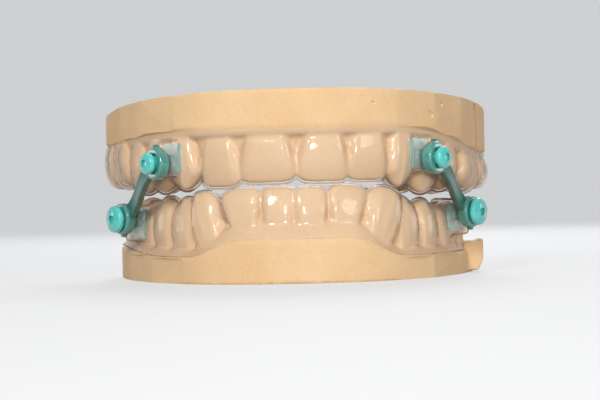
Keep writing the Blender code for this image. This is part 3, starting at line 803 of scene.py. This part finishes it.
def buildRow(jaw, row):
    print("row of teeth:", jaw)
    curve = rowCurve(row, jaw + "Arch")
    pieces = []
    start = 0.0
    for index, tooth in enumerate(row["teeth"]):
        middle = start + 0.5 * tooth["width"]
        start += tooth["width"]
        height = row["sign"] * (tooth["edge"] - gumRise(row, -middle))
        master = modelCrown(tooth, height, row["swell"])
        for side, factor in sides:
            along, outwards, rise, turn, wide = wander[jaw][side][index]
            crown = copyPiece(master, f"{jaw}{side}{index}")
            x = row["reach"] + factor * (middle + along) + row["shift"]
            crown.location = (x * mm, -outwards * mm, rise * mm)
            crown.rotation_euler = (0.0, 0.0, radians(turn * factor))
            tall = row["sign"] * (tooth["edge"] - gumRise(row, factor * middle)) / height
            crown.scale = (factor * wide, 1.0, tall)
            settle(crown)
            pieces.append(crown)
            if index < len(row["teeth"]) - 1:
                between = start + 0.5 * (along + wander[jaw][side][index + 1][0])
                x = row["reach"] + factor * between + row["shift"]
                pieces.append(modelPapilla(tooth["papilla"], x))
        if index == 0:
            pieces.append(modelPapilla(tooth["papilla"], row["reach"] + row["shift"]))
        removePiece(master)
    teeth = joinPieces(pieces, jaw + "Teeth")
    base = modelBase(row, jaw + "Base")
    return teeth, base, curve


# slope is a part of the top between two values of x, and how far it drops; all in mm
heelSizes = {
    "size": (3.5, 9.0, 5.8), "place": (30.8, 12.5, 3.3), "edge": 0.5, "footIn": 0.9, "backDrop": 0.9,
    "slope": ((-3.0, -0.9, 1.1), (-0.9, 0.9, 0.7), (0.9, 3.0, 0.2)),
}


def modelHeel():
    # the untrimmed heel that stands up outside the last molars on the right, its top sloping up outwards
    sizes = heelSizes
    heel = openCube()
    bpy.ops.mesh.subdivide(number_cuts=2)
    sizeBy(*fromMm(sizes["size"]))
    for low, high, drop in sizes["slope"]:
        pick("verts", lambda vert: vert.co.z > 1.5 * mm and low * mm < vert.co.x <= high * mm)
        moveBy(0.0, 0.0, -drop * mm)
    pick("verts", lambda vert: vert.co.z < -1.5 * mm and vert.co.x > 1.0 * mm)  # outer edge of the foot
    moveBy(-sizes["footIn"] * mm, 0.0, 0.0)
    pick("verts", lambda vert: vert.co.y > 1.6 * mm and vert.co.z > 1.0 * mm)  # upper edge of the back
    moveBy(0.0, 0.0, -sizes["backDrop"] * mm)
    pickAll()
    moveBy(*fromMm(sizes["place"]))
    closeEdit()
    applyModifier(heel, "BEVEL", width=sizes["edge"] * mm, segments=2, limit_method="ANGLE")
    return heel


# planes that trim the bases, by point and normal in metres: the upper top, the lower underside, both backs
baseCuts = {
    "upper": ((0.0, -0.020435, 0.0312), (0.0, 0.0488, 1.0)),
    "lower": (origin, (0.0, 0.0, -1.0)),
    "back": ((0.0, 0.02255, 0.0), (0.0, 1.0, 0.0)),
}
stoneFinish = {"smoothing": 3, "creaseAngle": 24}


def finishStone(jaw, row):
    teeth, base, curve = buildRow(jaw, row)
    for piece in (teeth, base):
        if row["sign"] < 0.0:
            piece.scale = (1.0, 1.0, -1.0)
            settle(piece)
        faceOutwards(piece)
        bendRound(piece, curve)
    cutFlat(base, *baseCuts[jaw])
    cutFlat(base, *baseCuts["back"])
    pieces = [teeth, base]
    if jaw == "lower":
        pieces.append(modelHeel())
    stone = joinPieces(pieces, jaw + "Stone")
    remesh(stone, row["voxel"], stoneFinish["smoothing"])
    trimFacets(stone, row)
    carve(stone, stoneMarks[jaw])
    smoothUnder(stone, stoneFinish["creaseAngle"])
    print(jaw, "stone faces", len(stone.data.polygons))
    return stone, curve


rows = {"upper": upperRow, "lower": lowerRow}
stones = {jaw: finishStone(jaw, row) for jaw, row in rows.items()}
for jaw, (stone, curve) in stones.items():
    wear(stone, beigeStone)
    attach(stone, jaw)
    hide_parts(jaw + "_model")


# the studs: their turn forwards in degrees, then in mm the collar's centre over the foot and on the right side

studs = {
    "angle": 37.0,
    "collarUp": 4.0,
    "places": {"upper": (22.62, -15.44, 19.7), "lower": (29.51, -0.55, 10.7)},
}


def studFrame(level, side):
    # at the stud's foot, with Z out along the stud, Y up and X across
    x, y, z = studs["places"][level]
    angle = radians(studs["angle"])
    out = Vector((side * cos(angle), -sin(angle), 0.0))
    up = Vector((0.0, 0.0, 1.0))
    foot = Vector((side * x, y, z)) * mm - out * studs["collarUp"] * mm
    return Matrix.Translation(foot) @ Matrix((up.cross(out), up, out)).transposed().to_4x4()


def outOf(matrix):
    return Vector(matrix.col[2][:3])


# clear sheets

sheetSizes = {
    "outside": 0.50, "wall": 0.28, "voxel": 0.30, "smoothing": 5,
    "box": (5.8, 6.6, 5.0), "boxTop": 2.5, "boxToGum": 0.8, "boxTaper": (0.93, 0.95), "boxEdge": 0.7,
    "hole": 1.75, "holeDeep": 3.0, "holeMiddle": 2.6,
    "cutAcross": 26.0, "cutDeep": 16.0, "cutInwards": 4.0, "margin": 0.4, "cutSteps": 120,
    "heelRoom": {"place": (32.6, 12.6, 2.8), "size": (7.2, 12.4, 8.2)},
}


def modelBox(level, side, row):
    # raised box over an anchor, a little narrower at its top
    sizes = sheetSizes
    toGum = -row["sign"] * sizes["boxToGum"] * mm
    box = openCube()
    sizeBy(*fromMm(sizes["box"]))
    moveBy(0.0, toGum, (sizes["boxTop"] - 0.5 * sizes["box"][2]) * mm)
    pick("verts", lambda vert: vert.co.z > 0.0)
    sizeBy(*sizes["boxTaper"], 1.0, about=(0.0, toGum, 0.0))
    pickAll()
    bpy.ops.mesh.bevel(offset=sizes["boxEdge"] * mm, segments=3)
    closeEdit()
    placeAt(box, studFrame(level, side))
    return box


def marginCutter(row, curve):
    # everything on the gum's side of the sheet's trimmed margin, bent like the row
    sizes = sheetSizes
    cutter = openCube()
    moveBy(0.5, 0.0, -0.5)
    sizeBy(2.0 * row["reach"] * mm, sizes["cutAcross"] * mm, sizes["cutDeep"] * mm)
    moveBy(0.0, sizes["cutInwards"] * mm, sizes["margin"] * mm)
    pick("edges", lambda edge: abs(edge.verts[0].co.x - edge.verts[1].co.x) > mm)
    bpy.ops.mesh.subdivide(number_cuts=sizes["cutSteps"])
    closeEdit()
    if row["sign"] < 0.0:
        cutter.scale = (1.0, 1.0, -1.0)
        settle(cutter)
        faceOutwards(cutter)
    bendRound(cutter, curve)
    applyModifier(cutter, "TRIANGULATE")
    return cutter


def deleteNear(piece, cutters, distance):
    # opens the piece where a cutter left its cut face
    depsgraph = bpy.context.evaluated_depsgraph_get()
    trees = [BVHTree.FromObject(cutter, depsgraph) for cutter in cutters]

    def onCut(face):
        spot = face.calc_center_median()
        for tree in trees:
            found, normal = tree.find_nearest(spot, distance)[:2]
            if found is not None and abs(normal.dot(face.normal)) > 0.8:
                return True
        return False

    openEdit(piece)
    pick("faces", onCut)
    bpy.ops.mesh.delete(type="FACE")
    closeEdit()


def makeSheet(jaw, row, stone, curve):
    print("clear sheet:", jaw)
    sizes = sheetSizes
    sheet = copyPiece(stone, jaw + "Clear")
    applyModifier(sheet, "DISPLACE", strength=sizes["outside"] * mm, mid_level=0.0)
    boxes = [modelBox(jaw, side, row) for tag, side in sides]
    sheet = joinPieces(boxes + [sheet], jaw + "Clear")
    remesh(sheet, sizes["voxel"], sizes["smoothing"])
    openings = [marginCutter(row, curve)]
    blockSize = 0.1
    selectNothing()
    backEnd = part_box(jaw + "_splint")[1].y
    bpy.ops.mesh.primitive_cube_add(size=blockSize, location=(0.0, backEnd + 0.5 * blockSize, 0.0))
    behind = bpy.context.object  # ends the sheet behind the last molars, where it stays closed
    if jaw == "lower":  # the sheet is trimmed clear of the heel
        room = sizes["heelRoom"]
        openings.append(addStart(bpy.ops.mesh.primitive_cube_add, size=1.0,
                                 location=fromMm(room["place"]), scale=fromMm(room["size"])))
    cutters = [openings[0], behind, *openings[1:]]
    for cutter in cutters:
        takeAway(sheet, cutter)
    deleteNear(sheet, openings, 3.0 * near)
    applyModifier(sheet, "SOLIDIFY", thickness=sizes["wall"] * mm, offset=-1.0)
    sheet.data.shade_smooth()
    for cutter in cutters:
        removePiece(cutter)
    for tag, side in sides:
        hole = addStart(bpy.ops.mesh.primitive_cylinder_add, vertices=48, radius=sizes["hole"] * mm,
                        depth=sizes["holeDeep"] * mm, location=origin)
        placeAt(hole, studFrame(jaw, side) @ Matrix.Translation((0.0, 0.0, sizes["holeMiddle"] * mm)))
        takeAway(sheet, hole)
        removePiece(hole)
    print(jaw, "sheet faces", len(sheet.data.polygons))
    wear(sheet, clearSheet)
    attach(sheet, jaw)
    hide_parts(jaw + "_splint")


for jaw, (stone, curve) in stones.items():
    makeSheet(jaw, rows[jaw], stone, curve)
    removePiece(curve)


# buttons

buttonSizes = {
    "head": {"upper": 1.8, "lower": 2.3}, "headThick": 0.9, "headBase": 5.4,
    "topEdge": 0.45, "bottomEdge": 0.12, "shank": 1.3, "shankLong": 2.5, "spigot": 0.8, "spigotLong": 1.5,
    "dimple": 0.55, "ringUp": 0.10, "ringWide": 0.22, "dimpleDeep": 0.25, "creaseAngle": 40,
}


def onRim(vert, radius):
    return abs(vert.co.xy.length - radius * mm) < 2.0 * near


def makeButton(level, side, tag):
    sizes = buttonSizes
    head = sizes["head"][level]
    bottom = sizes["headBase"] * mm
    top = (sizes["headBase"] + sizes["headThick"]) * mm
    button = addStart(bpy.ops.mesh.primitive_cylinder_add, vertices=64, radius=head * mm,
                      depth=sizes["headThick"] * mm,
                      location=(0.0, 0.0, (sizes["headBase"] + 0.5 * sizes["headThick"]) * mm))
    openEdit(button)
    pick("faces", lambda face: face.normal.z < -0.9)  # shank and spigot drawn out of the underside
    bpy.ops.mesh.inset(thickness=(head - sizes["shank"]) * mm)
    drawOut(0.0, 0.0, -sizes["shankLong"] * mm)
    bpy.ops.mesh.inset(thickness=(sizes["shank"] - sizes["spigot"]) * mm)
    drawOut(0.0, 0.0, -sizes["spigotLong"] * mm)
    pick("edges", lambda edge: all(abs(vert.co.z - top) < near for vert in edge.verts))
    bpy.ops.mesh.bevel(offset=sizes["topEdge"] * mm, segments=6)
    pick("faces", lambda face: face.normal.z > 0.99 and face.calc_center_median().z > top - near)
    bpy.ops.mesh.inset(thickness=(head - sizes["topEdge"] - sizes["dimple"]) * mm)
    moveBy(0.0, 0.0, sizes["ringUp"] * mm)
    bpy.ops.mesh.inset(thickness=sizes["ringWide"] * mm)
    moveBy(0.0, 0.0, -sizes["dimpleDeep"] * mm)
    pick("edges", lambda edge: all(
        abs(vert.co.z - bottom) < near and onRim(vert, head) for vert in edge.verts
    ))
    bpy.ops.mesh.bevel(offset=sizes["bottomEdge"] * mm, segments=3)
    closeEdit()
    button.name = f"{level}{tag}Button"
    placeAt(button, studFrame(level, side))
    smoothUnder(button, sizes["creaseAngle"])
    wear(button, teals["tealHead"])
    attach(button, level)
    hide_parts(f"{level}_{tag.lower()}_button")


# connectors

connectorSizes = {
    "collar": 2.65, "bore": 1.65, "collarLong": 1.9, "collarEdge": 0.4, "pip": 0.9, "pipEdge": 0.2,
    "strapWide": 2.2, "strapThick": 1.4, "strapEdge": 0.3, "strapRoot": 2.0, "rootFlare": 0.12,
    "strapSteps": 23, "channelRim": 0.62, "channelDeep": 0.28, "bend": (0.1, 0.9),
    "voxel": 0.11, "smoothing": 3,
}


def modelCollar():
    sizes = connectorSizes
    collar = addStart(bpy.ops.mesh.primitive_cylinder_add, vertices=64, radius=sizes["collar"] * mm,
                      depth=sizes["collarLong"] * mm, location=(0.0, 0.0, studs["collarUp"] * mm))
    openEdit(collar)
    pick("faces", lambda face: abs(face.normal.z) > 0.9)
    bpy.ops.mesh.inset(thickness=(sizes["collar"] - sizes["bore"]) * mm)
    bpy.ops.mesh.bridge_edge_loops()

    def outerEdge(edge):
        level = abs(edge.verts[0].co.z - edge.verts[1].co.z) < near
        return level and all(onRim(vert, sizes["collar"]) for vert in edge.verts)

    pick("edges", outerEdge)
    bpy.ops.mesh.bevel(offset=sizes["collarEdge"] * mm, segments=4)
    closeEdit()
    return collar


def modelPip(way):
    # small pip on the collar's rim, opposite the strap
    sizes = connectorSizes
    pip = addStart(bpy.ops.mesh.primitive_cube_add, size=sizes["pip"] * mm,
                   location=(0.0, way * sizes["collar"] * mm, studs["collarUp"] * mm))
    openEdit(pip)
    pickAll()
    bpy.ops.mesh.bevel(offset=sizes["pipEdge"] * mm, segments=3)
    closeEdit()
    return pip


def modelStrap(side):
    # flat strap from collar to collar, stepping outwards in a soft double bend, with a shallow channel
    sizes = connectorSizes
    centre = Vector((0.0, 0.0, studs["collarUp"] * mm))
    upper = studFrame("upper", side) @ centre
    lower = studFrame("lower", side) @ centre
    out = outOf(studFrame("upper", side))
    span = lower - upper
    outStep = span.dot(out)
    heading = (span - out * outStep).normalized()
    length = (span - out * outStep).length
    strap = openCube()
    sizeBy(length - 2.0 * sizes["strapRoot"] * mm, sizes["strapWide"] * mm, sizes["strapThick"] * mm)
    moveBy(0.5 * length, 0.0, 0.0)
    pick("faces", lambda face: face.normal.z > 0.9)
    bpy.ops.mesh.inset(thickness=sizes["channelRim"] * mm)
    moveBy(0.0, 0.0, -sizes["channelDeep"] * mm)
    pick("edges", lambda edge: abs(edge.verts[0].co.x - edge.verts[1].co.x) > 3.0 * mm)
    bpy.ops.mesh.subdivide(number_cuts=sizes["strapSteps"])
    work = bmesh.from_edit_mesh(strap.data)
    stations = sorted({round(vert.co.x / mm, 2) for vert in work.verts})
    for station in stations:
        share = (station * mm) / length
        pick("verts", lambda vert: abs(vert.co.x / mm - station) < 0.006)
        moveBy(0.0, 0.0, outStep * blended(share, *sizes["bend"]))
        sizeBy(1.0, 1.0 + sizes["rootFlare"] * abs(2.0 * share - 1.0), 1.0)
    closeEdit()
    axes = Matrix((heading, out.cross(heading), out)).transposed().to_4x4()
    placeAt(strap, Matrix.Translation(upper) @ axes)
    applyModifier(strap, "BEVEL", width=sizes["strapEdge"] * mm, segments=3, limit_method="ANGLE")
    return strap


def makeConnector(side, tag):
    print("connector:", tag)
    sizes = connectorSizes
    pieces = [modelStrap(side)]
    for level, way in (("upper", 1.0), ("lower", -1.0)):
        for piece in (modelCollar(), modelPip(way)):
            placeAt(piece, studFrame(level, side))
            pieces.append(piece)
    connector = joinPieces(pieces, tag + "Connector")
    faceOutwards(connector)
    remesh(connector, sizes["voxel"], sizes["smoothing"])
    connector.data.shade_smooth()
    # the strap faces take the darker look with painted shade, the collars the plain teal
    wear(connector, teals["tealCollar"], teals["shadedTealStrap"])
    collarReach = (sizes["collar"] + 0.15) * mm  # the strap's darker colour, which is painted shade, starts just outside the collars
    ends = [studFrame(level, side) for level in ("upper", "lower")]
    axes = [(end.translation.copy(), outOf(end)) for end in ends]
    for face in connector.data.polygons:
        away = min(((face.center - foot) - out * (face.center - foot).dot(out)).length for foot, out in axes)
        face.material_index = 1 if away > collarReach else 0
    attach(connector, tag + "_arm")
    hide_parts(tag + "_connector")
    print(tag, "connector faces", len(connector.data.polygons))


for tag, side in sides:
    makeConnector(side, tag)
    for level in ("upper", "lower"):
        makeButton(level, side, tag.capitalize())
        wear(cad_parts[f"{level}_{tag}_anchor"], teals["tealPlate"])


# floor and backdrop, in metres

floorSizes = {"wide": 6.0, "deep": 3.0, "forwards": 0.3, "below": 0.00002, "wall": 2.5, "bend": 0.6}
floorLook = {
    "dark": (0.25, 0.25, 0.25), "pale": (0.28, 0.28, 0.28), "scale": 3.0, "roughness": 0.8,
    "glow": (0.93, 0.94, 0.95), "glowStrength": 0.56,
}


def makeFloorMaterial(look):
    # pale, with a glow that is seen but lights nothing
    material, nodes, links, shader = newMaterial("paleFloor")
    coords = nodes.new("ShaderNodeTexCoord").outputs["Object"]
    patches = noise(nodes, links, coords, look["scale"])
    colour = ramp(nodes, links, patches, [(0.3, look["dark"]), (0.7, look["pale"])])
    links.new(colour, shader.inputs["Base Color"])
    setSockets(shader, {"Roughness": look["roughness"], "Emission Color": (*look["glow"], 1.0)})
    glow = nodes.new("ShaderNodeMath")
    glow.operation = "MULTIPLY"
    glow.inputs[1].default_value = look["glowStrength"]
    links.new(anyRay(nodes, links, "Is Camera Ray", "Is Transmission Ray", "Is Glossy Ray"), glow.inputs[0])
    links.new(glow.outputs["Value"], shader.inputs["Emission Strength"])
    return material


print("floor and backdrop")
floor = addStart(bpy.ops.mesh.primitive_plane_add, size=1.0, location=origin)
floor.name = "floor"
openEdit(floor)
pickAll()
sizeBy(floorSizes["wide"], floorSizes["deep"], 1.0)
moveBy(0.0, -floorSizes["forwards"], -floorSizes["below"])
pick("edges", lambda edge: all(vert.co.y > 1.0 for vert in edge.verts))
drawOut(0.0, 0.0, floorSizes["wall"])
pick("edges", lambda edge: all(vert.co.y > 1.0 and vert.co.z < 0.1 for vert in edge.verts))
bpy.ops.mesh.bevel(offset=floorSizes["bend"], segments=16)
closeEdit()
floor.data.shade_smooth()
wear(floor, makeFloorMaterial(floorLook))
